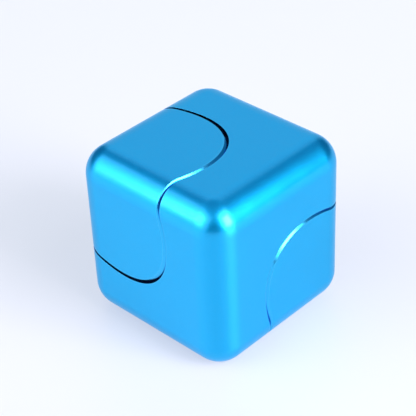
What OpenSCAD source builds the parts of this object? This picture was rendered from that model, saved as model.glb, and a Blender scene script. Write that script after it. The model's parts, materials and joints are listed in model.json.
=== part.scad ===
// Diagonal spinner cube: a rounded metal cube whose two opposite corners are held
// between finger and thumb while the body between them turns on a ball bearing.
// Millimetres. The cube stands on the Z = 0 plane and is centred on the Z axis.

/* [Cube] */
// Edge length of the closed cube
edge = 30; // [28:0.5:36]
// Radius of the rounded edges and corners
edge_round = 4.75; // [4:0.25:5]

/* [Seam] */
// Radius of the middle of the seam's gap around the spin axis, as a share of the edge
seam_ratio = 0.455; // [0.44:0.005:0.46]
// Radial gap between a corner cap and the wall of its pocket
seam_gap = 0.3; // [0.2:0.05:0.6]
// Gap between a cap's inner face and the floor of its pocket
floor_gap = 0.3; // [0.2:0.05:0.4]
// Thickness of the web between the two pocket floors, which holds the bearing
web_t = 10; // [9.8:0.1:10.6]

/* [Bearing] */
// Outside diameter of the bearing
bearing_od = 22; // [21:0.5:22]
// Bore of the bearing
bearing_id = 8; // [7:0.5:8]
// Width of the bearing
bearing_w = 7; // [6.8:0.1:7]
// Number of balls
ball_count = 7; // [6:1:7]
// Ball diameter
ball_d = 3.969; // [3.8:0.001:3.969]
// Thickness of the cage strip
cage_t = 0.35; // [0.3:0.05:0.4]
// Thickness of a dust shield
shield_t = 0.35; // [0.3:0.05:0.4]

/* [Axle and ring] */
// Diameter of the axle's ends, which fit the corner caps
axle_end_d = 6; // [5:0.5:6.5]
// How deep the axle's ends go into the corner caps
axle_end_len = 7.5; // [5:0.5:9]
// Thickness of the retaining ring
ring_t = 0.8; // [0.7:0.1:0.8]
// Depth of the retaining ring's groove in the bearing's seat
ring_groove = 0.5; // [0.3:0.1:0.6]

/* [Hidden] */
BALLS = [1:ball_count];

$fn = 96;
fine = 48;                                   // facets of the small round shapes
cut = 0.5;                                   // how far a cutter runs past a face

// Cube and seam
half = edge / 2;
round_at = half - edge_round;                // distance of a rounding's centre from a mid-plane
tilt = acos(1 / sqrt(3));                    // from +Z to a body diagonal
seam_r = seam_ratio * edge;
cap_r = seam_r - seam_gap / 2;
pocket_r = seam_r + seam_gap / 2;
floor_z = web_t / 2;
cap_z = floor_z + floor_gap;

// Bearing, measured from its own middle along the spin axis
bearing_or = bearing_od / 2;
bearing_ir = bearing_id / 2;
bearing_z = bearing_w / 2;
pitch_r = (bearing_or + bearing_ir) / 2;
ball_r = ball_d / 2;
race_r = 0.52 * ball_d;                      // groove radius of both races
race_play = 0.025;                           // radial play between a ball and a race
race_shift = race_r - ball_r - race_play;    // a groove's centre lies this far off the pitch circle
shoulder_at = 1.45;                          // from the pitch circle to a ring's shoulder
shoulder_in = pitch_r - shoulder_at;         // outer radius of the inner ring
shoulder_out = pitch_r + shoulder_at;        // inner radius of the outer ring between the shields
shield_z = bearing_z - 0.65;                 // outer face of a shield
shield_seat = shoulder_out + 0.4;            // mouth of the outer ring beyond a shield
shield_or = shield_seat + 0.25;
shield_ir = shoulder_in + 0.2;
ring_chamfer = 0.3;
cage_pocket_r = ball_r + 0.055;
cage_half_w = 0.9;                           // half the width of the cage strip
cage_ir = pitch_r - cage_half_w;
cage_or = pitch_r + cage_half_w;
rivet_r = 0.35;
rivet_head_r = 0.6;
rivet_head_t = 0.2;
ball_step = 360 / ball_count;

// Bearing seat, retaining ring, axle and spacers
lip_r = bearing_or - 1.4;
ring_slot = ring_t + 0.1;
ring_or = bearing_or + ring_groove - 0.05;
ring_ir = bearing_or - 1.1;
ring_gap = 34;                               // angle between the middles of the ring's two ears
ear_r = 1.5;
ear_at = ring_or - ear_r - 0.35;
ear_hole_r = 0.6;
axle_r = bearing_ir;
axle_end_r = axle_end_d / 2;
axle_chamfer = 0.5;
bore_spare = 0.6;                            // space left beyond the axle's end
spacer_r = shoulder_in - 0.15;

// Puts a shape drawn around +Z on the spin axis, which runs to the (-X, -Y, +Z) corner
module on_spin_axis() {
    translate([0, 0, half])
        rotate([0, tilt, 225])
            children();
}

// The same, reflected through the cube's middle, so that it serves the opposite corner
module on_lower_side() {
    on_spin_axis()
        mirror([0, 0, 1])
            children();
}

// Cube with rounded edges and corners, centred on the origin
module rounded_cube() {
    for (turn = [[0, 0, 0], [0, 90, 0], [90, 0, 0]])
        rotate(turn) {
            cube([2 * round_at, 2 * round_at, edge], center = true);
            for (x = [-round_at, round_at], y = [-round_at, round_at])
                translate([x, y, 0])
                    cylinder(r = edge_round, h = 2 * round_at, center = true);
        }
    for (x = [-round_at, round_at], y = [-round_at, round_at], z = [-round_at, round_at])
        translate([x, y, z])
            sphere(r = edge_round);
}

// The outside of the closed toy
module whole_cube() {
    translate([0, 0, half])
        rounded_cube();
}

// Round pocket for one corner cap, open outwards from the web
module pocket() {
    translate([0, 0, floor_z])
        cylinder(r = pocket_r, h = edge);
}

// Stepped seat in the web: bearing bore, lip below it and ring groove above it
module bearing_seat() {
    translate([0, 0, -bearing_z])
        cylinder(r = bearing_or, h = bearing_z + floor_z + cut);
    translate([0, 0, -floor_z - cut])
        cylinder(r = lip_r, h = web_t);
    translate([0, 0, bearing_z])
        cylinder(r = bearing_or + ring_groove, h = ring_slot);
}

module spinner_body() {
    color([0.10, 0.60, 0.86])
        difference() {
            whole_cube();
            on_spin_axis()
                pocket();
            on_lower_side()
                pocket();
            on_spin_axis()
                bearing_seat();
        }
}

// What a cap keeps of the cube: a plug along the spin axis, less the axle's blind bore
module cap_plug() {
    difference() {
        translate([0, 0, cap_z])
            cylinder(r = cap_r, h = edge);
        translate([0, 0, cap_z - cut])
            cylinder(r = axle_end_r, h = axle_end_len + bore_spare + cut);
    }
}

module upper_cap() {
    color([0.12, 0.64, 0.90])
        intersection() {
            whole_cube();
            on_spin_axis()
                cap_plug();
        }
}

module lower_cap() {
    color([0.12, 0.64, 0.90])
        intersection() {
            whole_cube();
            on_lower_side()
                cap_plug();
        }
}

// One end of the axle, from the middle of the bearing outwards
module axle_half() {
    cylinder(r = axle_r, h = cap_z);
    translate([0, 0, cap_z]) {
        cylinder(r = axle_end_r, h = axle_end_len - axle_chamfer);
        translate([0, 0, axle_end_len - axle_chamfer])
            cylinder(r1 = axle_end_r, r2 = axle_end_r - axle_chamfer, h = axle_chamfer);
    }
}

module axle() {
    color([0.72, 0.73, 0.75]) {
        on_spin_axis()
            axle_half();
        on_lower_side()
            axle_half();
    }
}

// Washer between the inner ring and a cap
module spacer() {
    translate([0, 0, bearing_z])
        difference() {
            cylinder(r = spacer_r, h = cap_z - bearing_z);
            translate([0, 0, -cut])
                cylinder(r = axle_r, h = web_t);
        }
}

module upper_spacer() {
    color([0.80, 0.70, 0.42])
        on_spin_axis()
            spacer();
}

module lower_spacer() {
    color([0.80, 0.70, 0.42])
        on_lower_side()
            spacer();
}

// Outline of the open retaining ring, with an ear each side of its gap
module ring_outline() {
    difference() {
        circle(r = ring_or);
        circle(r = ring_ir);
        polygon([[0, 0],
                 [edge, -edge * tan(ring_gap / 2)],
                 [edge, edge * tan(ring_gap / 2)]]);
    }
    for (side = [-1, 1])
        rotate(side * ring_gap / 2)
            translate([ear_at, 0])
                circle(r = ear_r, $fn = fine);
}

module retaining_ring() {
    color([0.30, 0.31, 0.33])
        on_spin_axis()
            translate([0, 0, bearing_z])
                difference() {
                    linear_extrude(ring_t)
                        ring_outline();
                    for (side = [-1, 1])
                        rotate(side * ring_gap / 2)
                            translate([ear_at, 0, -cut])
                                cylinder(r = ear_hole_r, h = ring_t + 2 * cut, $fn = fine);
                }
}

// Section of a bearing ring: from radius a at the outside to radius b at the race, chamfered outside
function ring_section(a, b) =
    let (s = sign(b - a) * ring_chamfer)
    [[a + s, -bearing_z], [b, -bearing_z], [b, bearing_z], [a + s, bearing_z],
     [a, bearing_z - ring_chamfer], [a, -bearing_z + ring_chamfer]];

// Race groove, as a section
module race(offset) {
    translate([pitch_r + offset, 0])
        circle(r = race_r, $fn = fine);
}

// Rebate and crimping groove that take one shield, as a section
module shield_rebate() {
    translate([pitch_r, shield_z - shield_t])
        square([shield_seat - pitch_r, bearing_w]);
    translate([pitch_r, shield_z - shield_t])
        square([shield_or - pitch_r, shield_t]);
}

module bearing_outer_ring() {
    color([0.78, 0.79, 0.81])
        on_spin_axis()
            rotate_extrude()
                difference() {
                    polygon(ring_section(bearing_or, shoulder_out));
                    race(-race_shift);
                    shield_rebate();
                    mirror([0, 1])
                        shield_rebate();
                }
}

module bearing_inner_ring() {
    color([0.78, 0.79, 0.81])
        on_spin_axis()
            rotate_extrude()
                difference() {
                    polygon(ring_section(bearing_ir, shoulder_in));
                    race(race_shift);
                }
}

// One ball, counted around the pitch circle
module bearing_ball(i) {
    color([0.88, 0.89, 0.91])
        on_spin_axis()
            rotate(i * ball_step)
                translate([pitch_r, 0, 0])
                    sphere(r = ball_r, $fn = fine);
}

// Round bars across the cage, one through each ball
module ball_tunnels(radius) {
    for (i = BALLS)
        rotate(i * ball_step)
            translate([cage_ir - cut, 0, 0])
                rotate([0, 90, 0])
                    cylinder(r = radius, h = cage_or - cage_ir + 2 * cut, $fn = fine);
}

// Places a shape at each rivet, midway between two balls
module at_rivets() {
    for (i = BALLS)
        rotate((i + 0.5) * ball_step)
            translate([pitch_r, 0, 0])
                children();
}

// Pressed half of the cage: a flat strip that arches over each ball
module cage_half() {
    difference() {
        intersection() {
            union() {
                cylinder(r = cage_or, h = cage_t);
                ball_tunnels(cage_pocket_r + cage_t);
            }
            difference() {
                cylinder(r = cage_or, h = bearing_z);
                translate([0, 0, -cut])
                    cylinder(r = cage_ir, h = bearing_w);
            }
        }
        ball_tunnels(cage_pocket_r);
        at_rivets()
            cylinder(r = rivet_r, h = bearing_w, center = true, $fn = fine);
    }
}

module bearing_cage_upper() {
    color([0.66, 0.60, 0.45])
        on_spin_axis()
            cage_half();
}

module bearing_cage_lower() {
    color([0.66, 0.60, 0.45])
        on_lower_side()
            cage_half();
}

module bearing_cage_rivets() {
    color([0.60, 0.61, 0.63])
        on_spin_axis()
            at_rivets() {
                cylinder(r = rivet_r, h = 2 * cage_t, center = true, $fn = fine);
                for (side = [-1, 1])
                    translate([0, 0, side * (cage_t + rivet_head_t / 2)])
                        cylinder(r = rivet_head_r, h = rivet_head_t, center = true, $fn = fine);
            }
}

// Dust shield, crimped into the outer ring and clear of the inner one
module shield() {
    translate([0, 0, shield_z - shield_t])
        difference() {
            cylinder(r = shield_or, h = shield_t);
            translate([0, 0, -cut])
                cylinder(r = shield_ir, h = shield_t + 2 * cut);
        }
}

module bearing_shield_upper() {
    color([0.70, 0.72, 0.74])
        on_spin_axis()
            shield();
}

module bearing_shield_lower() {
    color([0.70, 0.72, 0.74])
        on_lower_side()
            shield();
}

spinner_body();
upper_cap();
lower_cap();
axle();
upper_spacer();
lower_spacer();
retaining_ring();
bearing_outer_ring();
bearing_inner_ring();
for (i = BALLS) bearing_ball(i);
bearing_cage_upper();
bearing_cage_lower();
bearing_cage_rivets();
bearing_shield_upper();
bearing_shield_lower();
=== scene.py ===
"""Looks of a diagonal spinner cube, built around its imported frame.

Each piece is a surface of two parameters: the angle around the spin axis, and the way along a
profile. Points are worked out in the spin frame (Z along the spin axis, origin in the middle of the
cube, metres) as whole arrays of rows, and are turned into the row frame when the mesh is made.
"""

import json
import math

import bpy
import numpy as np
from bpy.props import FloatProperty, FloatVectorProperty, IntProperty, PointerProperty
from bpy.types import Operator, Panel, PropertyGroup
from mathutils import Matrix, Vector


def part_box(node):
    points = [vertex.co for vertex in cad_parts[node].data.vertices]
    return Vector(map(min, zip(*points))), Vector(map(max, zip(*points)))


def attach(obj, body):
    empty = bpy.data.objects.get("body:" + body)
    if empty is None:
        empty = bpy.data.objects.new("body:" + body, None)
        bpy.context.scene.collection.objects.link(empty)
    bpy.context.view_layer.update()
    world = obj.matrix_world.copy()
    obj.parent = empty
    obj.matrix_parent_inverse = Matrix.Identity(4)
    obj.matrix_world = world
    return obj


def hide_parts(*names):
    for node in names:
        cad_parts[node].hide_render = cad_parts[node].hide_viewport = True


bl_info = {
    "name": "Diagonal Spinner Cube",
    "version": (1, 0, 0),
    "blender": (4, 5, 0),
    "location": "3D View > Sidebar > Spinner Cube",
    "description": "Builds the shell, the bearing and the stage of a cube that spins about its diagonal",
    "category": "Add Mesh",
}

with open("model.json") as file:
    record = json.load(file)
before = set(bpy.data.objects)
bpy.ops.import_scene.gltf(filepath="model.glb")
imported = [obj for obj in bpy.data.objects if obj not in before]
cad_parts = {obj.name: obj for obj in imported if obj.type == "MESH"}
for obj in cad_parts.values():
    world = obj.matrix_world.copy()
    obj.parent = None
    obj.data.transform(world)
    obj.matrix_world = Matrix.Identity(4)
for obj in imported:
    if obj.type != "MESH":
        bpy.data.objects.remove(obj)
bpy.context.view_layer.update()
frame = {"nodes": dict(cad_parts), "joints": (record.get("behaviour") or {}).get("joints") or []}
MM = 0.001


# ---------------- the spin frame and its measures

SPIN_JOINT = next(j for j in frame["joints"] if j["name"] == "spinner_spin")
CENTRE = np.array(SPIN_JOINT["pos_m"], float)


def spin_axes():
    """Rows are the spin frame's X, Y and Z. Z is the joint's axis, and X is the part of straight down
    that is square to it."""
    z = np.array(SPIN_JOINT["axis"], float)
    z /= np.linalg.norm(z)
    down = np.array([0.0, 0.0, -1.0])
    x = down - (down @ z) * z
    x /= np.linalg.norm(x)
    return np.stack([x, np.cross(z, x), z])


SPIN = spin_axes()
SPIN_Z = np.array([0.0, 0.0, 1.0])


def node_span(node):
    """(least radius, greatest radius, lowest, highest) of a CAD node about and along the spin axis."""
    mesh = frame["nodes"][node].data
    co = np.zeros(len(mesh.vertices) * 3, np.float32)
    mesh.vertices.foreach_get("co", co)
    p = (co.reshape(-1, 3) - CENTRE) @ SPIN.T
    r = np.hypot(p[:, 0], p[:, 1])
    return float(r.min()), float(r.max()), float(p[:, 2].min()), float(p[:, 2].max())


HALF = float(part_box("spinner_body")[1][0])
CAP_R, CAP_Z = node_span("upper_cap")[1], node_span("upper_cap")[2]
BEARING_OR, BEARING_Z = node_span("bearing_outer_ring")[1], node_span("bearing_outer_ring")[3]
BEARING_IR, SHOULDER_IN = node_span("bearing_inner_ring")[:2]
BALL_NEAR, BALL_FAR = node_span("bearing_ball_1")[:2]
BALL_R, PITCH_R = (BALL_FAR - BALL_NEAR) / 2, (BALL_FAR + BALL_NEAR) / 2
BALL_COUNT = sum(name.startswith("bearing_ball_") for name in frame["nodes"])
SHIELD_IR, SHIELD_OR, SHIELD_LOW, SHIELD_HIGH = node_span("bearing_shield_upper")
CAGE_IR, CAGE_OR = node_span("bearing_cage_upper")[:2]
AXLE_R, AXLE_TOP = node_span("axle")[1], node_span("axle")[3]
RING_LOW, RING_HIGH = node_span("retaining_ring")[2:]
RING_OR = node_span("retaining_ring")[1]
AXLE_END_R = 3.0 * MM           # the axle's ends and their bores in the caps
TIP_R = 0.02 * MM               # first radius beside the closing point of a turned piece
RUB_AND_HIGHLIGHT_REACH = 0.05 * MM           # how far the rub and the painted highlight on a rim fade out over the outside
LONGEST = 0.9 * MM              # longest step along the inside of a shell
SIDES = (("upper", 1), ("lower", -1))


# ---------------- settings

def length(name, description, default, low, high):
    """A length in metres that a user may change."""
    return FloatProperty(name=name, description=description, default=default, min=low, max=high,
                         precision=5, unit="LENGTH", subtype="DISTANCE")


def share(name, description, default):
    """A plain number from 0 to 1."""
    return FloatProperty(name=name, description=description, default=default, min=0.0, max=1.0,
                         subtype="FACTOR")


def colour(name, description, default):
    """A linear colour."""
    return FloatVectorProperty(name=name, description=description, default=default, size=4,
                               min=0.0, max=1.0, subtype="COLOR")


def degrees(name, description, default):
    """An angle, given here in degrees and kept in radians."""
    return FloatProperty(name=name, description=description, default=math.radians(default),
                         subtype="ANGLE", unit="ROTATION")


def power(name, description, default):
    """A lamp's power in watts."""
    return FloatProperty(name=name, description=description, default=default, min=0.0,
                         subtype="POWER", unit="POWER")


class ShellSettings(PropertyGroup):
    """Sizes and finish of the three outer pieces"""
    edge_round: length("Edge rounding", "Radius of the cube's rounded edges", 4.75 * MM, 1 * MM, 7 * MM)
    seam_gap: length("Seam gap", "Radial gap between a cap and its pocket", 0.3 * MM, 0.1 * MM, 1 * MM)
    floor_gap: length("Floor gap", "Gap below a cap's inner face", 0.3 * MM, 0.1 * MM, 1 * MM)
    cap_break: length("Cap rim break", "Radius of the fine rim of a cap", 0.03 * MM, 0.01 * MM, 0.3 * MM)
    bevel: length("Body bevel", "Radial width of the bevel on a pocket's rim", 0.10 * MM, 0.05 * MM, 0.6 * MM)
    bevel_depth: length("Bevel depth", "How far the bevel runs down a pocket's wall", 0.80 * MM,
                        0.1 * MM, 1 * MM)
    bevel_ease: length("Bevel ease", "Rounded length at each edge of the bevel", 0.035 * MM,
                       0.01 * MM, 0.1 * MM)
    around: IntProperty(name="Steps around", description="Steps around the spin axis", default=420,
                        min=48, max=720)
    tint: colour("Anodised tint", "Reflection colour of the dyed oxide", (0.0, 0.445, 0.85, 1.0))
    tint_deep: colour("Deep tint", "Colour where the dye has taken most", (0.0, 0.405, 0.80, 1.0))
    rim_polish: share("Rim polish", "How much smoother the cut bevels are than the blasted faces", 0.18)
    roughness: share("Blast roughness", "Mean roughness of the blasted surface", 0.34)


class BearingSettings(PropertyGroup):
    """Sizes and finish of the pieces inside"""
    chamfer: length("Ring chamfer", "Edge chamfer of the bearing's rings", 0.3 * MM, 0.05 * MM, 0.6 * MM)
    race_play: length("Race play", "Radial play between a ball and a race", 0.025 * MM, 0.0, 0.1 * MM)
    cage_thickness: length("Cage strip", "Thickness of the pressed cage strip", 0.3 * MM, 0.1 * MM, 0.4 * MM)
    shield_thickness: length("Shield sheet", "Thickness of the shield's sheet", 0.2 * MM, 0.1 * MM, 0.3 * MM)
    knurl_teeth: IntProperty(name="Knurl teeth", description="Teeth of the axle's knurled ends",
                             default=32, min=8, max=60)
    knurl_depth: length("Knurl depth", "Depth of the knurl", 0.12 * MM, 0.0, 0.3 * MM)
    steel: colour("Ground steel", "Colour of the ground rings and the axle", (0.62, 0.63, 0.65, 1.0))
    polished: colour("Polished steel", "Colour of the balls", (0.80, 0.81, 0.83, 1.0))
    strip: colour("Strip steel", "Colour of the cage", (0.58, 0.56, 0.51, 1.0))
    plated: colour("Plated steel", "Colour of the shields", (0.68, 0.69, 0.70, 1.0))
    brass: colour("Brass", "Colour of the spacers", (0.80, 0.60, 0.27, 1.0))
    phosphate: colour("Phosphated steel", "Colour of the retaining ring", (0.09, 0.09, 0.10, 1.0))


class StageSettings(PropertyGroup):
    """Camera, lights and floor"""
    azimuth: degrees("Camera azimuth", "Camera's angle round the cube, from the -Y side", 44.88)
    elevation: degrees("Camera elevation", "Camera's angle above the floor", 35.22)
    roll: degrees("Camera roll", "Camera's turn about its own line of sight", -2.76)
    distance: FloatProperty(name="Camera distance", description="In cube edges", default=7.223, min=2.0)
    aside: FloatProperty(name="Aside", description="Camera's step to its right, in cube edges",
                         default=-0.0295)
    above: FloatProperty(name="Above", description="Camera's step upwards, in cube edges", default=0.0692)
    lens: FloatProperty(name="Lens", description="Focal length in millimetres", default=118.9, min=10.0)
    floor: colour("Floor", "Colour of the floor", (0.36, 0.36, 0.395, 1.0))
    floor_glow: share("Floor glow", "Light that comes through the pale floor", 0.46)
    horizon: colour("Horizon", "Light from around the cube", (0.05, 0.18, 0.28, 1.0))
    zenith: colour("Zenith", "Light from straight above", (0.18, 0.35, 0.48, 1.0))
    left_power: power("Left power", "Large soft box at the left of the camera", 6.6)
    left_core_power: power("Left core power", "Brighter middle of the left box", 2.8)
    right_power: power("Right power", "Large soft box at the right of the camera", 6.2)
    right_core_power: power("Right core power", "Brighter middle of the right box", 9.5)
    back_power: power("Back power", "Dim pale wall behind the cube", 1.7)


class SpinnerCubeSettings(PropertyGroup):
    """Everything that may be changed"""
    shell: PointerProperty(type=ShellSettings)
    bearing: PointerProperty(type=BearingSettings)
    stage: PointerProperty(type=StageSettings)


# ---------------- surfaces

def around(steps):
    """Unit vectors square to the spin axis, one for each step of the angle: (cos a, sin a, 0)."""
    a = np.arange(steps) * (2 * math.pi / steps)
    return np.stack([np.cos(a), np.sin(a), np.zeros(steps)], -1)


def to_cube(p):
    """Points or directions of the spin frame, turned to the cube's own axes."""
    return p @ SPIN


def cube_distance(p, rounding):
    """Distance outside a cube whose core reaches HALF less the edge rounding, grown by `rounding`:
    the length of what each |coordinate| has over the core, less the rounding."""
    over = np.abs(to_cube(p)) - (HALF - settings().shell.edge_round)
    outside = np.linalg.norm(np.maximum(over, 0), axis=-1)
    return outside + np.minimum(over.max(-1), 0) - rounding


def cube_normal(p):
    """Outward normal of the rounded cube at points near its surface: the unit vector from the nearest
    point of the core."""
    local = to_cube(p)
    over = np.maximum(np.abs(local) - (HALF - settings().shell.edge_round), 0) * np.sign(local)
    return unit(over) @ SPIN.T


def meet_cube(start, direction, rounding):
    """Where rays from inside the cube meet its surface, by halving the stretch that holds the crossing."""
    low = np.zeros(start.shape[:-1])
    high = low + 2 * HALF
    halvings = 44
    for _ in range(halvings):
        middle = (low + high) / 2
        inside = cube_distance(start + middle[..., None] * direction, rounding) < 0
        low, high = np.where(inside, middle, low), np.where(inside, high, middle)
    return start + high[..., None] * direction


def unit(v):
    """Vectors scaled to length one."""
    return v / np.linalg.norm(v, axis=-1, keepdims=True)


def turn_between(a, b, steps):
    """Unit vectors that turn evenly from a to b, in rows: (sin((1-t)w) a + sin(tw) b) / sin w, where w
    is the angle between them."""
    t = np.linspace(0, 1, steps)[:, None, None]
    w = np.arccos(np.clip((a * b).sum(-1), -1, 1))[None, :, None]
    return (np.sin((1 - t) * w) * a + np.sin(t * w) * b) / np.sin(w)


def rim_round(radius, rolling, steps):
    """Rows of the soft rim between the cube's surface and a cap's round wall: the path of a ball of
    radius `rolling` that touches both. Rows run from the surface to the wall. Returns points and normals."""
    out = around(settings().shell.around)
    rounding = settings().shell.edge_round - rolling
    centres = meet_cube((radius - rolling) * out, SPIN_Z, rounding)
    normals = turn_between(cube_normal(centres), out, steps)
    return centres + rolling * normals, normals


def bend(a, corner, b, along, steps):
    """Rows of a parabola that leaves a towards the corner and comes into b from it:
    (1-t)^2 a + 2t(1-t) corner + t^2 b. Its normal is along x tangent. Returns points and normals."""
    t = np.linspace(0, 1, steps)[:, None, None]
    points = (1 - t) ** 2 * a + 2 * t * (1 - t) * corner + t ** 2 * b
    return points, unit(np.cross(along, (1 - t) * (corner - a) + t * (b - corner)))


def rim_bevel(radius, setback, depth, ease, steps):
    """Rows of a bevel between the cube's surface and a pocket's wall. It starts on the surface at
    radius + setback and meets the wall at `depth` below the sharp corner. Its normal is along x across,
    and each edge bends over the length `ease` on both sides. Rows run from the surface to the wall.
    Returns points and normals."""
    out = around(settings().shell.around)
    rounding = settings().shell.edge_round
    corner, start, before = (meet_cube((radius + further) * out, SPIN_Z, rounding)
                             for further in (0, setback, setback + ease))
    end = corner - depth * SPIN_Z
    across, along = end - start, np.roll(end, -1, 0) - np.roll(end, 1, 0)
    facet = unit(np.cross(along, across))
    eased = ease / np.linalg.norm(across, axis=-1, keepdims=True)
    top, top_normals = bend(before, start, start + eased * across, along, steps)
    foot, foot_normals = bend(end - eased * across, end, end - ease * SPIN_Z, along, steps)
    middle = (start + end) / 2
    points = np.concatenate([top, middle[None], foot])
    normals = np.concatenate([top_normals, facet[None], foot_normals])
    return points, normals


def wall_rows(top, floor, steps):
    """Rows straight down a round wall, from the points `top` to the height `floor`."""
    t = np.linspace(0, 1, steps)[1:-1, None]
    rows = np.repeat(top[None], steps - 2, 0)
    rows[..., 2] = (1 - t) * top[:, 2] + t * floor
    return rows


def soften(outline, radius, steps=5):
    """Rounds every corner of a closed outline of (radius, height) points, running either way. Each corner
    becomes an arc that touches both of its sides. Normals point out of the enclosed area, whose sign is
    that of the sum of x1 y2 - x2 y1. Returns points and normals, as rows."""
    p = np.array(outline, float)
    following = np.roll(p, -1, 0)
    facing = np.sign((p[:, 0] * following[:, 1] - following[:, 0] * p[:, 1]).sum())
    before, after = p - np.roll(p, 1, 0), np.roll(p, -1, 0) - p
    len_in, len_out = np.linalg.norm(before, axis=1), np.linalg.norm(after, axis=1)
    d_in, d_out = before / len_in[:, None], after / len_out[:, None]
    turn = np.arctan2(d_in[:, 0] * d_out[:, 1] - d_in[:, 1] * d_out[:, 0], (d_in * d_out).sum(1))
    never_zero, most_of_side = 1e-9, 0.45
    half_tan = np.abs(np.tan(turn / 2)) + never_zero
    reach = np.minimum(radius * half_tan, most_of_side * np.minimum(len_in, len_out))
    arc_r = reach / half_tan
    side = np.sign(turn)[:, None]
    left = np.stack([-d_in[:, 1], d_in[:, 0]], 1) * side
    middle = p - d_in * reach[:, None] + left * arc_r[:, None]
    a = np.linspace(0, 1, steps)[None, :] * turn[:, None]
    c, s = np.cos(a)[..., None], np.sin(a)[..., None]
    spoke = -left[:, None, :]
    spoke = spoke * c + np.stack([-spoke[..., 1], spoke[..., 0]], -1) * s
    points = middle[:, None] + spoke * arc_r[:, None, None]
    return points.reshape(-1, 2), (spoke * side[:, None] * facing).reshape(-1, 2)


def lathe(points, normals, steps):
    """Turns (radius, height) rows about the spin axis: radius * (cos a, sin a) + height * Z."""
    out = around(steps)
    return tuple(v[:, None, :1] * out + v[:, None, 1:] * SPIN_Z for v in (points, normals))


def join_rows(*parts):
    """Stacks parts of (points, normals, rim) rows; a rim that is a number holds for the whole part."""
    points = np.concatenate([p[0] for p in parts])
    normals = np.concatenate([np.broadcast_to(p[1], p[0].shape) for p in parts])
    rims = np.concatenate([np.broadcast_to(p[2], p[0].shape[:2]) for p in parts])
    return points, normals, rims


# ---------------- meshes

def weave(rows, looped, poles):
    """Quads between neighbouring rows of a grid whose rows each close on themselves. looped also joins
    the last row to the first; poles closes the first and last row to a point each."""
    count, steps = rows.shape[:2]
    index = np.arange(count * steps).reshape(count, steps)
    upper = index if looped else index[:-1]
    lower = np.roll(index, -1, 0) if looped else index[1:]
    quads = np.stack([upper, lower, np.roll(lower, -1, 1), np.roll(upper, -1, 1)], -1).reshape(-1, 4)
    faces = quads.tolist()
    if poles:
        first, last = index[0], index[-1]
        top, bottom = count * steps, count * steps + 1
        faces += np.stack([np.full(steps, top), first, np.roll(first, -1)], -1).tolist()
        faces += np.stack([np.full(steps, bottom), np.roll(last, -1), last], -1).tolist()
    return faces


def signed_volume(points, faces):
    """Volume inside a closed mesh, negative if its faces look inwards: a sixth of the sum of
    a . (b x c) over its triangles."""
    fan = [np.array([f for f in faces if len(f) == n]) for n in (3, 4)]
    total = 0.0
    for group in fan:
        for k in range(1, group.shape[1] - 1 if len(group) else 0):
            a, b, c = (points[group[:, i]] for i in (0, k, k + 1))
            total += (a * np.cross(b, c)).sum() / 6
    return total


def add_object(name, data):
    """A new object in the scene."""
    made = bpy.data.objects.new(name, data)
    bpy.context.scene.collection.objects.link(made)
    return made


def make_piece(name, points, normals, faces, rim):
    """A smooth mesh object whose place is in its mesh, from spin-frame points and outward normals."""
    if signed_volume(points, faces) < 0:
        faces = [f[::-1] for f in faces]
    mesh = bpy.data.meshes.new(name)
    mesh.from_pydata((CENTRE + points @ SPIN).tolist(), [], faces)
    mesh.polygons.foreach_set("use_smooth", np.ones(len(mesh.polygons), bool))
    mesh.normals_split_custom_set_from_vertices(unit(normals @ SPIN).tolist())
    edge = mesh.attributes.new("rim", "FLOAT", "POINT")
    edge.data.foreach_set("value", rim)
    mesh.validate()
    return add_object(name, mesh)


def grid_piece(name, rows, normals, rims=0.0, looped=True, poles=None):
    """A piece from a grid of rows. poles gives the two closing points, as (points, normals)."""
    faces = weave(rows, looped, poles is not None)
    points, directions = rows.reshape(-1, 3), normals.reshape(-1, 3)
    rim = np.broadcast_to(rims, rows.shape[:2]).reshape(-1)
    if poles is not None:
        points, directions = np.concatenate([points, poles[0]]), np.concatenate([directions, poles[1]])
        rim = np.concatenate([rim, np.zeros(2)])
    return make_piece(name, points, directions, faces, rim)


def turned_piece(name, outline, radius, steps=192):
    """A ring turned about the spin axis from a closed outline, with its corners softened."""
    return grid_piece(name, *lathe(*soften(outline, radius), steps))


def settle(piece, material, body, slot, *nodes):
    """Gives a finished piece its material and its body, and hides the CAD nodes that it stands for. The slot
    is not used.
    """
    piece.data.materials.append(material)
    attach(piece, body)
    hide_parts(*nodes)


# ---------------- node groups

def new_group(name, inputs, outputs):
    """An empty shader node group. inputs and outputs are {name: default}; a colour default has 4 numbers."""
    tree = bpy.data.node_groups.new(name, "ShaderNodeTree")
    for in_out, sockets in (("INPUT", inputs), ("OUTPUT", outputs)):
        for label, default in sockets.items():
            kind = "NodeSocketColor" if isinstance(default, tuple) else "NodeSocketFloat"
            tree.interface.new_socket(label, in_out=in_out, socket_type=kind).default_value = default
    return tree, tree.nodes.new("NodeGroupInput"), tree.nodes.new("NodeGroupOutput")


def feed(tree, value, socket):
    """Gives an input a plain value, or links it if the value is itself a socket."""
    if isinstance(value, bpy.types.NodeSocket):
        tree.links.new(value, socket)
    else:
        socket.default_value = value


def node(tree, kind, **values):
    """A shader node with some of its settings and inputs given by name."""
    made = tree.nodes.new(kind)
    for key, value in values.items():
        if key in made.bl_rna.properties:
            setattr(made, key, value)
        else:
            feed(tree, value, made.inputs[key.replace("_", " ")])
    return made


def math_node(tree, operation, a, b=None):
    """A Math node on two sockets or numbers. Returns its output."""
    made = node(tree, "ShaderNodeMath", operation=operation)
    for socket, value in zip(made.inputs, (a, b)):
        if value is not None:
            feed(tree, value, socket)
    return made.outputs[0]


def object_place(tree):
    """Place in the object's own coordinates."""
    return tree.nodes.new("ShaderNodeTexCoord").outputs["Object"]


def scale_for(tree, size):
    """Texture scale that makes a pattern `size` metres wide."""
    return math_node(tree, "DIVIDE", 1.0, size)


def noise(tree, place, scale, **values):
    """Value of a noise texture."""
    return node(tree, "ShaderNodeTexNoise", Vector=place, Scale=scale, **values).outputs["Fac"]


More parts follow.
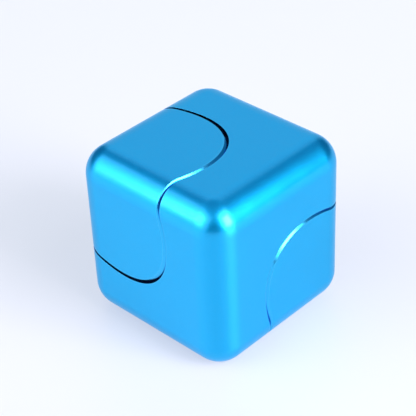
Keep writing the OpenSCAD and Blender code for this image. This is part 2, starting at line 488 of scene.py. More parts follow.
def blasted_grain():
    """Dimples of bead blasting. Height mixes round dimples with finer noise; Glint is a slow speckle."""
    tree, into, out = new_group("Blasted grain", {"Dimple": 0.2 * MM}, {"Height": 0.0, "Glint": 0.0})
    place, scale = object_place(tree), scale_for(tree, into.outputs["Dimple"])
    fine_times, glint_times, fine_share = 2.3, 0.8, 0.5
    dimples = node(tree, "ShaderNodeTexVoronoi", feature="SMOOTH_F1", Smoothness=0.6, Vector=place,
                   Scale=scale)
    fine = noise(tree, place, math_node(tree, "MULTIPLY", scale, fine_times), Detail=2.0, Roughness=0.6)
    glint = noise(tree, place, math_node(tree, "MULTIPLY", scale, glint_times), Detail=1.0)
    high = math_node(tree, "MULTIPLY", fine, fine_share)
    feed(tree, math_node(tree, "ADD", dimples.outputs["Distance"], high), out.inputs["Height"])
    feed(tree, glint, out.inputs["Glint"])
    return tree


def handling_haze():
    """Faint cloudy film from handling, as a mask from 0 to 1."""
    tree, into, out = new_group("Handling haze", {"Patch": 6 * MM, "Amount": 1.0}, {"Mask": 0.0})
    scale = scale_for(tree, into.outputs["Patch"])
    cloud = noise(tree, object_place(tree), scale, Detail=4.0, Roughness=0.55, Distortion=0.6)
    spread = node(tree, "ShaderNodeMapRange", From_Min=0.35, From_Max=0.7, Value=cloud)
    film = math_node(tree, "MULTIPLY", spread.outputs["Result"], into.outputs["Amount"])
    feed(tree, film, out.inputs["Mask"])
    return tree


def rim_rub_and_highlight():
    """Mask of the seam's rims, broken up so that it looks rubbed by hand. The shell uses it both for real rub
    and for a painted highlight.
    """
    tree, into, out = new_group("Rim rub", {"Break": 2 * MM, "Amount": 1.0}, {"Mask": 0.0})
    rim = node(tree, "ShaderNodeAttribute", attribute_name="rim")
    breaks = noise(tree, object_place(tree), scale_for(tree, into.outputs["Break"]), Detail=3.0)
    worn = node(tree, "ShaderNodeMapRange", From_Min=0.35, From_Max=0.65, To_Min=0.85, Value=breaks)
    masked = math_node(tree, "MULTIPLY", rim.outputs["Fac"], worn.outputs["Result"])
    feed(tree, math_node(tree, "MULTIPLY", masked, into.outputs["Amount"]), out.inputs["Mask"])
    return tree


def turned_marks():
    """Fine rings that a lathe or grinder leaves about the spin axis: noise read at (radius, height)."""
    tree, into, out = new_group("Turned marks", {"Pitch": 0.08 * MM}, {"Height": 0.0, "Shade": 0.0})
    turned = node(tree, "ShaderNodeMapping", Vector=object_place(tree),
                  Rotation=Matrix(SPIN.tolist()).to_euler(), Location=Vector((-SPIN @ CENTRE).tolist()))
    split = node(tree, "ShaderNodeSeparateXYZ", Vector=turned.outputs["Vector"])
    squares = (math_node(tree, "MULTIPLY", split.outputs[k], split.outputs[k]) for k in "XY")
    radius = math_node(tree, "SQRT", math_node(tree, "ADD", *squares))
    place = node(tree, "ShaderNodeCombineXYZ", X=radius, Y=split.outputs["Z"]).outputs["Vector"]
    scale, shade_times = scale_for(tree, into.outputs["Pitch"]), 0.25
    feed(tree, noise(tree, place, scale, Detail=3.0, Roughness=0.7), out.inputs["Height"])
    shade = noise(tree, place, math_node(tree, "MULTIPLY", scale, shade_times), Detail=1.0)
    feed(tree, shade, out.inputs["Shade"])
    return tree


GROUPS = {"Blasted grain": blasted_grain, "Handling haze": handling_haze,
          "Rim rub": rim_rub_and_highlight, "Turned marks": turned_marks}


def place_group(tree, name, **values):
    """Places a shared node group in a material, building it the first time."""
    shared = bpy.data.node_groups.get(name) or GROUPS[name]()
    return node(tree, "ShaderNodeGroup", node_tree=shared, **values)


# ---------------- materials

def principled(name, **values):
    """A Principled material with some of its inputs given. Returns the material, its tree and its shader."""
    material = bpy.data.materials.new(name)
    material.use_nodes = True
    tree = material.node_tree
    shader = tree.nodes["Principled BSDF"]
    for key, value in values.items():
        feed(tree, value, shader.inputs[key.replace("_", " ")])
    return material, tree, shader


def blend_colours(tree, mask, low, high):
    """Colour that runs from low to high as the mask runs from 0 to 1."""
    mix = node(tree, "ShaderNodeMix", data_type="RGBA", Factor=mask)
    for socket, value in ((mix.inputs[6], low), (mix.inputs[7], high)):
        feed(tree, value, socket)
    return mix.outputs[2]


def steer(tree, value, socket, low, high):
    """Feeds a value from 0 to 1 into a socket, spread from low to high."""
    spread = node(tree, "ShaderNodeMapRange", To_Min=low, To_Max=high, Value=value)
    feed(tree, spread.outputs["Result"], socket)


def add_bump(tree, shader, height, strength, distance):
    """Feeds a height into the shader's normal."""
    bump = node(tree, "ShaderNodeBump", Strength=strength, Distance=distance, Height=height)
    feed(tree, bump.outputs["Normal"], shader.inputs["Normal"])


def anodised_aluminium():
    """Bead-blasted aluminium under a clear blue oxide: tinted metal with dimples, uneven dye, a hazy
    film, and rims rubbed smoother that also carry a painted highlight in a paler tint."""
    look = settings().shell
    highlight_and_rub_paler, smoother, hazier = 0.02, 0.02, 0.05
    material, tree, shader = principled("anodised_aluminium", Metallic=1.0, Coat_Weight=0.42, Coat_IOR=1.6,
                                        Coat_Roughness=0.22, Specular_Tint=(0.5, 0.88, 1.0, 1.0))
    grain = place_group(tree, "Blasted grain", Dimple=0.17 * MM)
    haze = place_group(tree, "Handling haze", Patch=7 * MM)
    rub_and_highlight = place_group(tree, "Rim rub")
    dye = blend_colours(tree, grain.outputs["Glint"], tuple(look.tint_deep), tuple(look.tint))
    # Painted highlight: the rims get a paler tint as well as the rub's lower roughness.
    pale = [min(1.0, c + highlight_and_rub_paler) for c in look.tint[:3]] + [1.0]
    feed(tree, blend_colours(tree, rub_and_highlight.outputs["Mask"], dye, pale), shader.inputs["Base Color"])
    blasted = node(tree, "ShaderNodeMapRange", To_Min=look.roughness - smoother,
                   To_Max=look.roughness + hazier, Value=haze.outputs["Mask"])
    machined = math_node(tree, "MULTIPLY", rub_and_highlight.outputs["Mask"], look.rim_polish)
    rough = math_node(tree, "SUBTRACT", blasted.outputs["Result"], machined)
    feed(tree, rough, shader.inputs["Roughness"])
    blasted_share = math_node(tree, "SUBTRACT", 1.0, rub_and_highlight.outputs["Mask"])
    dimples = math_node(tree, "MULTIPLY", grain.outputs["Height"], blasted_share)
    add_bump(tree, shader, dimples, strength=0.6, distance=0.014 * MM)
    return material


def turned_metal(name, tint, roughness, pitch, depth):
    """Metal with fine rings about the spin axis, a little darker in places."""
    darker, smoother, rougher = 0.75, 0.8, 1.25
    material, tree, shader = principled(name, Metallic=1.0)
    marks = place_group(tree, "Turned marks", Pitch=pitch)
    dark = tuple(c * darker for c in tint[:3]) + (1.0,)
    colours = blend_colours(tree, marks.outputs["Shade"], dark, tuple(tint))
    feed(tree, colours, shader.inputs["Base Color"])
    steer(tree, marks.outputs["Shade"], shader.inputs["Roughness"], roughness * smoother, roughness * rougher)
    add_bump(tree, shader, marks.outputs["Height"], strength=0.3, distance=depth)
    return material


def filmed_metal(name, tint, roughness, patch, depth):
    """Metal with a faint uneven film and a fine grain: polished balls, pressed strip, phosphate."""
    grain, darker, rougher = 0.1 * MM, 0.8, 1.5
    material, tree, shader = principled(name, Metallic=1.0)
    haze = place_group(tree, "Handling haze", Patch=patch)
    fine = place_group(tree, "Blasted grain", Dimple=grain)
    dark = tuple(c * darker for c in tint[:3]) + (1.0,)
    feed(tree, blend_colours(tree, haze.outputs["Mask"], tuple(tint), dark), shader.inputs["Base Color"])
    steer(tree, haze.outputs["Mask"], shader.inputs["Roughness"], roughness, roughness * rougher)
    add_bump(tree, shader, fine.outputs["Height"], strength=0.25, distance=depth)
    return material


# maker, colour setting, roughness, then size of the marks or of the film's patches, and their depth
FINISHES = {
    "ground_steel": (turned_metal, "steel", 0.22, 0.06 * MM, 0.002 * MM),
    "turned_brass": (turned_metal, "brass", 0.3, 0.12 * MM, 0.004 * MM),
    "plated_sheet": (turned_metal, "plated", 0.28, 0.2 * MM, 0.003 * MM),
    "polished_steel": (filmed_metal, "polished", 0.06, 2 * MM, 0.0004 * MM),
    "pressed_strip": (filmed_metal, "strip", 0.3, 1.5 * MM, 0.003 * MM),
    "phosphated_steel": (filmed_metal, "phosphate", 0.48, 1.5 * MM, 0.006 * MM),
}


def finish_of(name):
    """The material of that name, built the first time it is asked for."""
    made = bpy.data.materials.get(name)
    if made or name == "anodised_aluminium":
        return made or anodised_aluminium()
    maker, tint, *sizes = FINISHES[name]
    return maker(name, getattr(settings().bearing, tint), *sizes)


# ---------------- outer pieces

def near_rim(rows, rim_row):
    """How near each point is to the rim, from 0 to 1: exp(-distance / reach of the rub and the painted
    highlight).
    """
    return np.exp(-np.linalg.norm(rows - rim_row, axis=-1) / RUB_AND_HIGHLIGHT_REACH)


def cap_outside(rim_row, steps):
    """Rows of a cap's outer surface, from near its tip out to the rim. The plan radius grows evenly
    and the angle eases into the rim's own; the height is where a line along the axis meets the cube."""
    t = (np.arange(1, steps) / steps)[:, None]
    base = np.arange(rim_row.shape[0]) * (2 * math.pi / rim_row.shape[0])
    rim_angle = np.arctan2(rim_row[:, 1], rim_row[:, 0])
    drift = np.angle(np.exp(1j * (rim_angle - base)))
    angle = base + t ** 3 * drift
    radius = t * np.hypot(rim_row[:, 0], rim_row[:, 1])
    plan = np.stack([radius * np.cos(angle), radius * np.sin(angle), np.zeros_like(angle)], -1)
    return meet_cube(plan, SPIN_Z, settings().shell.edge_round)


def cap_inside(floor_break, bore_r, bore_top):
    """Outline, as (radius, height) points, from the foot of a cap's wall over its inner face and up the
    blind bore of the axle, whose end is a drill's cone."""
    bore_edge, drill_slope = 0.25 * MM, 0.25
    return [(CAP_R, CAP_Z + floor_break), (CAP_R - floor_break, CAP_Z),
            (bore_r + bore_edge, CAP_Z), (bore_r, CAP_Z + bore_edge), (bore_r, bore_top),
            (TIP_R, bore_top + drill_slope * bore_r)]


def open_profile(outline, radius, steps=4):
    """Softened points and normals of an open outline: the closed one, less its two end corners."""
    points, normals = soften(outline, radius, steps)
    return points[steps:-steps], normals[steps:-steps]


def cap_shell(name, side):
    """A corner cap: outer surface, rim, wall, inner face and bore, in rows from the tip to the
    bottom of the bore. side is +1 for the upper cap; the lower one is its image through the centre."""
    shell = settings().shell
    rim, rim_normals = rim_round(CAP_R, shell.cap_break, steps=7)
    outside = cap_outside(rim[0], steps=66)
    floor_break, bore_spare = 0.25 * MM, 0.6 * MM
    inner = cap_inside(floor_break, AXLE_END_R, AXLE_TOP + bore_spare)
    inner_points, inner_normals = refine(*open_profile(inner, 0.12 * MM), LONGEST)
    wall = wall_rows(rim[-1], CAP_Z + floor_break, steps=14)
    out = around(shell.around)
    rows, normals, rims = join_rows(
        (outside, cube_normal(outside), near_rim(outside, rim[0])),
        (rim, rim_normals, 1.0),
        (wall, out, 1.0),
        (*lathe(inner_points, inner_normals, shell.around), 0.0))
    tip = meet_cube(np.zeros((1, 3)), SPIN_Z, shell.edge_round)
    bottom = np.array([[0, 0, inner[-1][1]]])
    poles = np.concatenate([tip, bottom]), np.array([[0, 0, 1.0], [0, 0, -1.0]])
    return grid_piece(name, side * rows, side * normals, rims, False, (side * poles[0], side * poles[1]))


def refine(points, normals, longest):
    """Adds evenly spaced points to the stretches of a profile that are longer than `longest`."""
    gaps = np.linalg.norm(np.diff(points, axis=0), axis=1)
    counts = np.maximum(np.ceil(gaps / longest).astype(int), 1)
    t = np.concatenate([np.arange(n) / n for n in counts] + [[0.0]])
    i = np.concatenate([np.repeat(np.arange(len(counts)), counts), [len(counts) - 1]])
    t[-1] = 1.0
    mix = [(1 - t)[:, None] * v[i] + t[:, None] * v[i + 1] for v in (points, normals)]
    return mix[0], unit(mix[1])


def belt(upper, lower, steps):
    """Rows of the spinner's outer surface between its two rims. Angle and slope run evenly from the
    upper rim's to the lower rim's, and each ray from the cube's middle meets the cube."""
    ends = unit(np.stack([upper, lower]))
    slope = np.arccos(ends[..., 2])
    angle = np.arctan2(ends[..., 1], ends[..., 0])
    drift = np.angle(np.exp(1j * (angle[1] - angle[0])))
    t = np.linspace(0, 1, steps)[1:-1, None]
    a, s = angle[0] + t * drift, (1 - t) * slope[0] + t * slope[1]
    rays = np.stack([np.sin(s) * np.cos(a), np.sin(s) * np.sin(a), np.cos(s)], -1)
    return meet_cube(np.zeros_like(rays), rays, settings().shell.edge_round)


def web_outline(pocket_r, floor_z):
    """Outline of the web from the foot of the lower pocket's wall, through the stepped bearing seat, to
    the foot of the upper pocket's wall, as (radius, height) points."""
    corner = 0.35 * MM
    lip_r, edge = BEARING_OR - 1.4 * MM, 0.2 * MM
    groove_r, groove_top = RING_OR + 0.05 * MM, RING_HIGH + 0.1 * MM
    return [(pocket_r, -floor_z - corner), (pocket_r - corner, -floor_z),
            (lip_r + edge, -floor_z), (lip_r, -floor_z + edge),
            (lip_r, -BEARING_Z), (BEARING_OR, -BEARING_Z), (BEARING_OR, RING_LOW),
            (groove_r, RING_LOW), (groove_r, groove_top), (BEARING_OR, groove_top),
            (BEARING_OR, floor_z - edge), (BEARING_OR + edge, floor_z),
            (pocket_r - corner, floor_z), (pocket_r, floor_z + corner)]


def spinner_shell(name):
    """The middle body: upper rim, belt, lower rim, lower pocket, web with the bearing's seat and upper
    pocket, in rows that run round the body and back to the start."""
    shell = settings().shell
    pocket_r = CAP_R + shell.seam_gap
    floor_z = CAP_Z - shell.floor_gap
    rim, rim_normals = rim_bevel(pocket_r, shell.bevel, shell.bevel_depth, shell.bevel_ease, steps=7)
    half = shell.around // 2
    low_rim = -np.roll(rim, half, 1)
    low_normals = -np.roll(rim_normals, half, 1)
    outside = belt(rim[0], low_rim[0], steps=96)
    web = web_outline(pocket_r, floor_z)
    web_points, web_normals = refine(*open_profile(web, 0.1 * MM), LONGEST)
    corner_top = web[-1][1]
    wall_up, wall_low = (wall_rows(top[-1], sign * corner_top, steps=9)
                         for top, sign in ((rim, 1), (low_rim, -1)))
    out = around(shell.around)
    rim_mask = np.maximum(near_rim(outside, rim[0]), near_rim(outside, low_rim[0]))
    rows, normals, rims = join_rows(
        (rim[::-1], rim_normals[::-1], 1.0),
        (outside, cube_normal(outside), rim_mask),
        (low_rim, low_normals, 1.0),
        (wall_low, -out, 1.0),
        (*lathe(web_points, web_normals, shell.around), 0.0),
        (wall_up[::-1], -out, 1.0))
    return grid_piece(name, rows, normals, rims)


# ---------------- pieces of the bearing

def race_arc(groove_r, offset, facing, reach, steps=17):
    """Points of a race groove: an arc of radius groove_r about (pitch radius + offset, 0), on the side
    that `facing` names, over the heights from -reach to reach."""
    span = math.asin(reach / groove_r)
    a = np.linspace(-span, span, steps)
    return np.stack([PITCH_R + offset + facing * groove_r * np.cos(a), groove_r * np.sin(a)], 1)


def groove_reach(groove_r, offset, shoulder):
    """Height at which a race groove runs out into its shoulder."""
    across = abs(shoulder - PITCH_R - offset)
    return math.sqrt(groove_r ** 2 - across ** 2)


def inner_ring_outline():
    """Outline of the inner ring, anticlockwise: chamfered bore, and shoulders each side of the groove."""
    inside = settings().bearing
    groove_r, offset = race_shape()
    arc = race_arc(groove_r, offset, -1, groove_reach(groove_r, offset, SHOULDER_IN))
    c = inside.chamfer
    return np.concatenate([
        [(BEARING_IR, -BEARING_Z + c), (BEARING_IR + c, -BEARING_Z), (SHOULDER_IN, -BEARING_Z)],
        arc, [(SHOULDER_IN, BEARING_Z), (BEARING_IR + c, BEARING_Z), (BEARING_IR, BEARING_Z - c)]])


def race_shape():
    """(radius of a race groove, how far its centre is off the pitch circle)."""
    conformity = 0.52
    groove_r = conformity * 2 * BALL_R
    return groove_r, groove_r - BALL_R - settings().bearing.race_play


def outer_ring_outline():
    """Outline of the outer ring, anticlockwise: chamfered outside, and a rebate with a crimping groove
    for a shield at each end of the bore."""
    inside = settings().bearing
    groove_r, offset = race_shape()
    shoulder, c = SHIELD_OR - 0.65 * MM, inside.chamfer
    mouth = SHIELD_OR - 0.25 * MM
    arc = race_arc(groove_r, -offset, 1, groove_reach(groove_r, -offset, shoulder))[::-1]
    end = np.array([(mouth, BEARING_Z), (mouth, SHIELD_HIGH), (SHIELD_OR, SHIELD_HIGH),
                    (SHIELD_OR, SHIELD_LOW), (shoulder, SHIELD_LOW)])
    return np.concatenate([
        [(BEARING_OR, BEARING_Z - c), (BEARING_OR - c, BEARING_Z)], end, arc,
        (end * (1, -1))[::-1], [(BEARING_OR - c, -BEARING_Z), (BEARING_OR, -BEARING_Z + c)]])


def shield_outline(side):
    """Outline of a dust shield of thin sheet: a crimped outer edge, a step, and a lip turned in at the
    bore. side is +1 above and -1 below."""
    t = settings().bearing.shield_thickness
    low, high = SHIELD_LOW, SHIELD_HIGH
    step_out, step_in = SHIELD_OR - 0.7 * MM, SHIELD_OR - 0.95 * MM
    lip_r, lip_z = SHIELD_IR + 0.28 * MM, high - 0.1 * MM
    top = [(SHIELD_OR, low + t), (step_out, low + t), (step_in, high), (lip_r, high), (SHIELD_IR, lip_z)]
    under = [(SHIELD_IR, lip_z - t), (lip_r, high - t), (step_in, high - t), (step_out, low),
             (SHIELD_OR, low)]
    ring = np.array(top + under)
    return ring if side > 0 else (ring * (1, -1))[::-1]


def strip_path(radius, thickness, steps=18):
    """Middle line of the cage strip over half a ball's share, as (distance along, height) points: a
    main arc over the ball, a small arc back at its foot, then flat to the rivet."""
    main, foot, low = radius + thickness / 2, 0.35 * MM, thickness / 2
    foot_x = math.sqrt((main + foot) ** 2 - (low + foot) ** 2)
    swing = math.atan2(low + foot, foot_x)
    a = np.linspace(math.pi / 2, swing, steps)
    b = np.linspace(math.pi + swing, 1.5 * math.pi, 7)[1:]
    over = np.stack([main * np.cos(a), main * np.sin(a)], 1)
    back = np.stack([foot_x + foot * np.cos(b), low + foot + foot * np.sin(b)], 1)
    end = PITCH_R * math.sin(math.pi / BALL_COUNT)
    flat = np.stack([np.linspace(foot_x, end, 5)[1:], np.full(4, low)], 1)
    return np.concatenate([over, back, flat])


def cage_strip(name, side):
    """A pressed cage half: a strip with rounded edges carried around the pitch circle along a path that
    arches over each ball. Each point is radius * (cos a, sin a) + height, with the strip's thickness
    set off square to the path."""
    inside = settings().bearing
    t = inside.cage_thickness
    ball_play = 0.06 * MM
    half_path = strip_path(BALL_R + ball_play, t)
    path = np.concatenate([(half_path * (-1, 1))[:0:-1], half_path[:-1]])
    ahead, behind = np.roll(path, -1, 0), np.roll(path, 1, 0)
    pitch_step = 2 * PITCH_R * math.sin(math.pi / BALL_COUNT)
    ahead[-1, 0] += pitch_step
    behind[0, 0] -= pitch_step
    along = unit(ahead - behind)
    up = np.stack([-along[:, 1], along[:, 0]], 1)
    section, section_n = soften([(CAGE_IR, -t / 2), (CAGE_OR, -t / 2), (CAGE_OR, t / 2), (CAGE_IR, t / 2)],
                                0.08 * MM, 4)
    flat = path[None, :, :] + section[:, 1][:, None, None] * up[None]
    angle = np.arcsin(np.clip(flat[..., 0] / PITCH_R, -1, 1))
    share_of_turn = np.arange(BALL_COUNT) * (2 * math.pi / BALL_COUNT)
    angle = (share_of_turn[None, :, None] + angle[:, None, :]).reshape(len(section), -1)
    tile = (1, BALL_COUNT)
    height, radius = np.tile(flat[..., 1], tile), section[:, :1] * np.ones_like(angle)
    lean, rise = (np.tile(section_n[:, 1:] * up[None, :, k], tile) for k in (0, 1))
    cos, sin = np.cos(angle), np.sin(angle)
    rows = np.stack([radius * cos, radius * sin, side * height], -1)
    normals = np.stack([section_n[:, :1] * cos - lean * sin, section_n[:, :1] * sin + lean * cos,
                        side * rise], -1)
    return grid_piece(name, rows, normals)


def ball(name, number):
    """A ball on the pitch circle: centre + radius * (sin s cos a, sin s sin a, cos s)."""
    steps = 64
    s = np.linspace(0, math.pi, steps // 2 + 1)[1:-1]
    normals = np.sin(s)[:, None, None] * around(steps) + np.cos(s)[:, None, None] * SPIN_Z
    turn = number * 2 * math.pi / BALL_COUNT
    centre = PITCH_R * np.array([math.cos(turn), math.sin(turn), 0])
    poles = np.stack([SPIN_Z, -SPIN_Z])
    return grid_piece(name, centre + BALL_R * normals, normals, 0.0, False,
                      (centre + BALL_R * poles, poles))


def axle_pin(name):
    """The axle: a ground journal with a relief groove at each shoulder, and knurled ends. On the ends the
    radius is end radius - depth * (1 - cos(teeth * angle)) / 2, faded out towards both ends of the knurl."""
    inside = settings().bearing
    steps_in_tooth, end_r, edge = 12, AXLE_END_R, 0.5 * MM
    steps = inside.knurl_teeth * steps_in_tooth
    relief, relief_w = 0.25 * MM, 0.4 * MM
    upper = [(AXLE_R, 0.0), (AXLE_R, CAP_Z - 0.2 * MM), (AXLE_R - 0.2 * MM, CAP_Z),
             (end_r, CAP_Z), (end_r - relief, CAP_Z + 0.1 * MM), (end_r - relief, CAP_Z + relief_w),
             (end_r, CAP_Z + relief_w + relief), (end_r, AXLE_TOP - edge), (end_r - edge, AXLE_TOP),
             (TIP_R, AXLE_TOP)]
    outline = [(r, -z) for r, z in upper[:0:-1]] + upper[1:]
    points, normals = refine(*open_profile(outline, 0.08 * MM), 0.3 * MM)
    rows, directions = lathe(points, normals, steps)
    low, high = CAP_Z + relief_w + relief + 0.2 * MM, AXLE_TOP - edge - 0.2 * MM
    fade_w = 0.5 * MM
    z = np.abs(points[:, 1])
    fade = np.clip((z - low) / fade_w, 0, 1) * np.clip((high - z) / fade_w, 0, 1)
    a = np.arange(steps) * (2 * math.pi / steps) * inside.knurl_teeth
    depth = inside.knurl_depth * fade[:, None] * (1 - np.cos(a)) / 2
    slope = inside.knurl_depth * fade[:, None] * inside.knurl_teeth * np.sin(a) / 2 / end_r
    out = around(steps)
    tangent = np.stack([-out[:, 1], out[:, 0], out[:, 2]], 1)
    rows = rows - depth[..., None] * out
    directions = directions + slope[..., None] * tangent
    poles = np.array([[0, 0, -AXLE_TOP], [0, 0, AXLE_TOP]])
    return grid_piece(name, rows, directions, 0.0, False, (poles, unit(poles)))


def rounded_washer(name, node_name):
    """A turned washer with the sizes of its CAD node."""
    low_r, high_r, low, high = node_span(node_name)
    return turned_piece(name, [(low_r, low), (high_r, low), (high_r, high), (low_r, high)], 0.15 * MM)


# ---------------- stage

def direction_from(azimuth, elevation):
    """Unit vector from the cube towards an azimuth, measured from -Y, and an elevation."""
    return Vector((math.sin(azimuth) * math.cos(elevation), -math.cos(azimuth) * math.cos(elevation),
                   math.sin(elevation)))


def add_camera(stage):
    """Camera with the cube's corner towards it, set off and rolled as the view asks."""
    edge, middle = 2 * HALF, Vector(CENTRE)
    back = direction_from(stage.azimuth, stage.elevation)
    right = (-back).cross(Vector((0, 0, 1))).normalized()
    up = back.cross(right)
    turn = Matrix.Rotation(stage.roll, 3, back)
    right, up = turn @ right, turn @ up
    eye = middle + edge * (stage.distance * back + stage.aside * right + stage.above * up)
    data = bpy.data.cameras.new("camera")
    data.lens, data.sensor_width, data.sensor_fit = stage.lens, 36.0, "HORIZONTAL"
    data.clip_start, data.clip_end = 0.01, 20.0
    camera = add_object("camera", data)
    camera.matrix_world = Matrix.Translation(eye) @ Matrix((right, up, back)).transposed().to_4x4()
    bpy.context.scene.camera = camera


LAMP_TINT = (1.0, 0.91, 0.89)
# name, azimuth and elevation in degrees, then distance, width and height in metres, and power setting
SOFT_BOXES = (
    ("left_box", -22, 32, 0.9, 1.41, 1.04, "left_power"),
    ("left_core", -22, 30, 0.88, 0.55, 0.48, "left_core_power"),
    ("right_box", 99, 32, 0.9, 0.80, 1.04, "right_power"),
    ("right_core", 99, 26, 0.88, 0.38, 0.52, "right_core_power"),
    ("back_wall", -140, 30, 0.9, 0.84, 1.0, "back_power"),
)


def soft_box(name, azimuth, elevation, distance, width, height, watts):
    """A rectangular soft light that faces the cube. Angles in degrees, lengths in metres."""
    towards = direction_from(math.radians(azimuth), math.radians(elevation))
    data = bpy.data.lights.new(name, "AREA")
    data.shape, data.size, data.size_y = "RECTANGLE", width, height
    data.energy, data.color = watts, LAMP_TINT
    lamp = add_object(name, data)
    lamp.location = Vector(CENTRE) + distance * towards
    lamp.rotation_euler = towards.to_track_quat("Z", "Y").to_euler()


def add_sky(stage):
    """Dim light from all round that grows brighter towards the zenith."""
    world = bpy.data.worlds.new("studio")
    bpy.context.scene.world = world
    world.use_nodes = True
    tree = world.node_tree
    place = tree.nodes.new("ShaderNodeTexCoord").outputs["Generated"]
    split = node(tree, "ShaderNodeSeparateXYZ", Vector=place)
    spread = node(tree, "ShaderNodeMapRange", interpolation_type="SMOOTHSTEP", From_Min=0.45, From_Max=0.85,
                  Value=split.outputs["Z"])
    light = blend_colours(tree, spread.outputs["Result"], tuple(stage.horizon), tuple(stage.zenith))
    feed(tree, light, tree.nodes["Background"].inputs["Color"])


def add_floor(stage):
    """A plain pale floor, a little glossy."""
    reach, roughness, glow_tint = 2.0, 0.42, (0.91, 0.93, 1.0, 1.0)
    corners = [(-reach, -reach, 0), (reach, -reach, 0), (reach, reach, 0), (-reach, reach, 0)]
    mesh = bpy.data.meshes.new("floor")
    mesh.from_pydata(corners, [], [(0, 1, 2, 3)])
    paint = principled("floor_paint", Base_Color=stage.floor, Roughness=roughness, Emission_Color=glow_tint,
                       Emission_Strength=stage.floor_glow)[0]
    mesh.materials.append(paint)
    floor = add_object("floor", mesh)


# ---------------- operators

def settings():
    """The scene's settings."""
    return bpy.context.scene.spinner_cube


class SPINNERCUBE_OT_spinner_body(Operator):
    """Build the middle body that spins"""
    bl_idname = "spinner_cube.spinner_body"
    bl_label = "Spinner Body"

    def execute(self, context):
        piece = spinner_shell("spinner_shell")
        settle(piece, finish_of("anodised_aluminium"), "spinner", "anodised_blue", "spinner_body")
        return {"FINISHED"}


class SPINNERCUBE_OT_corner_caps(Operator):
    """Build the two corner caps that are held"""
    bl_idname = "spinner_cube.corner_caps"
    bl_label = "Corner Caps"

    def execute(self, context):
        for place, side in SIDES:
            piece = cap_shell(f"{place}_cap_shell", side)
            settle(piece, finish_of("anodised_aluminium"), "caps", "anodised_blue", f"{place}_cap")
        return {"FINISHED"}


class SPINNERCUBE_OT_axle(Operator):
    """Build the axle that joins the caps"""
    bl_idname = "spinner_cube.axle"
    bl_label = "Axle"

    def execute(self, context):
        settle(axle_pin("axle_pin"), finish_of("ground_steel"), "caps", "axle_steel", "axle")
        return {"FINISHED"}


class SPINNERCUBE_OT_spacers(Operator):
    """Build the two spacers beside the bearing"""
    bl_idname = "spinner_cube.spacers"
    bl_label = "Spacers"

    def execute(self, context):
        for place in ("upper", "lower"):
            piece = rounded_washer(f"{place}_washer", f"{place}_spacer")
            settle(piece, finish_of("turned_brass"), "caps", "spacer_brass", f"{place}_spacer")
        return {"FINISHED"}


class SPINNERCUBE_OT_bearing_rings(Operator):
    """Build the bearing's inner and outer rings"""
    bl_idname = "spinner_cube.bearing_rings"
    bl_label = "Bearing Rings"

    def execute(self, context):
        for name, outline, body, node_name in (
                ("inner_race", inner_ring_outline(), "caps", "bearing_inner_ring"),
                ("outer_race", outer_ring_outline(), "spinner", "bearing_outer_ring")):
            piece = turned_piece(name, outline, 0.05 * MM)
            settle(piece, finish_of("ground_steel"), body, "ground_steel", node_name)
        return {"FINISHED"}


class SPINNERCUBE_OT_balls(Operator):
    """Build the bearing's balls"""
    bl_idname = "spinner_cube.balls"
    bl_label = "Balls"

    def execute(self, context):
        for number in range(1, BALL_COUNT + 1):
            piece = ball(f"ball_{number}", number)
            settle(piece, finish_of("polished_steel"), f"ball_{number}", "polished_steel",
                   f"bearing_ball_{number}")
        return {"FINISHED"}


class SPINNERCUBE_OT_cage(Operator):
    """Build the two pressed halves of the cage, and finish its rivets"""
    bl_idname = "spinner_cube.cage"
    bl_label = "Cage"

    def execute(self, context):
        for place, side in SIDES:
            piece = cage_strip(f"{place}_cage_strip", side)
            settle(piece, finish_of("pressed_strip"), "cage", "cage_steel", f"bearing_cage_{place}")
        finish_node("bearing_cage_rivets", finish_of("pressed_strip"))
        return {"FINISHED"}


class SPINNERCUBE_OT_shields(Operator):
    """Build the two dust shields"""
    bl_idname = "spinner_cube.shields"
    bl_label = "Shields"

    def execute(self, context):
        for place, side in SIDES:
            piece = turned_piece(f"{place}_shield", shield_outline(side), 0.07 * MM)
            settle(piece, finish_of("plated_sheet"), "spinner", "shield_steel", f"bearing_shield_{place}")
        return {"FINISHED"}


class SPINNERCUBE_OT_retaining_ring(Operator):
    """Finish the open ring that holds the bearing in its seat"""
    bl_idname = "spinner_cube.retaining_ring"
    bl_label = "Retaining Ring"

    def execute(self, context):
        finish_node("retaining_ring", finish_of("phosphated_steel"))
        return {"FINISHED"}


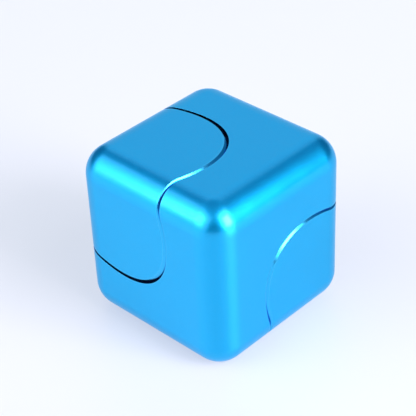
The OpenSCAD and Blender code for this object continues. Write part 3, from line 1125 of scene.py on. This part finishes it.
class SPINNERCUBE_OT_stage(Operator):
    """Build the floor, the lights and the camera"""
    bl_idname = "spinner_cube.stage"
    bl_label = "Stage"

    def execute(self, context):
        stage = settings().stage
        context.scene.view_settings.view_transform = "Standard"
        add_floor(stage)
        add_sky(stage)
        for name, *place, power_setting in SOFT_BOXES:
            soft_box(name, *place, getattr(stage, power_setting))
        add_camera(stage)
        return {"FINISHED"}


def finish_node(name, material):
    """Gives a CAD node that stays in view its material, in each of its slots."""
    slots = frame["nodes"][name].material_slots
    if not slots:
        frame["nodes"][name].data.materials.append(material)
    for slot in slots:
        slot.material = material


STEPS = (SPINNERCUBE_OT_stage, SPINNERCUBE_OT_spinner_body, SPINNERCUBE_OT_corner_caps,
         SPINNERCUBE_OT_axle, SPINNERCUBE_OT_spacers, SPINNERCUBE_OT_retaining_ring,
         SPINNERCUBE_OT_bearing_rings, SPINNERCUBE_OT_balls, SPINNERCUBE_OT_cage,
         SPINNERCUBE_OT_shields)


class SPINNERCUBE_PT_sidebar(Panel):
    """Settings and steps in the 3D view's sidebar"""
    bl_label = "Spinner Cube"
    bl_space_type = "VIEW_3D"
    bl_region_type = "UI"
    bl_category = "Spinner Cube"

    def draw(self, context):
        column = self.layout.column()
        for group in (settings().shell, settings().bearing, settings().stage):
            column.label(text=group.bl_rna.description)
            for key in group.__annotations__:
                column.prop(group, key)
        for step in STEPS:
            column.operator(step.bl_idname)


CLASSES = (ShellSettings, BearingSettings, StageSettings, SpinnerCubeSettings, *STEPS,
           SPINNERCUBE_PT_sidebar)


def register():
    for cls in CLASSES:
        bpy.utils.register_class(cls)
    bpy.types.Scene.spinner_cube = PointerProperty(type=SpinnerCubeSettings)


def unregister():
    del bpy.types.Scene.spinner_cube
    for cls in reversed(CLASSES):
        bpy.utils.unregister_class(cls)


def main():
    register()
    for step in STEPS:
        family, name = step.bl_idname.split(".")
        getattr(getattr(bpy.ops, family), name)()
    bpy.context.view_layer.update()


if __name__ == "__main__":
    main()
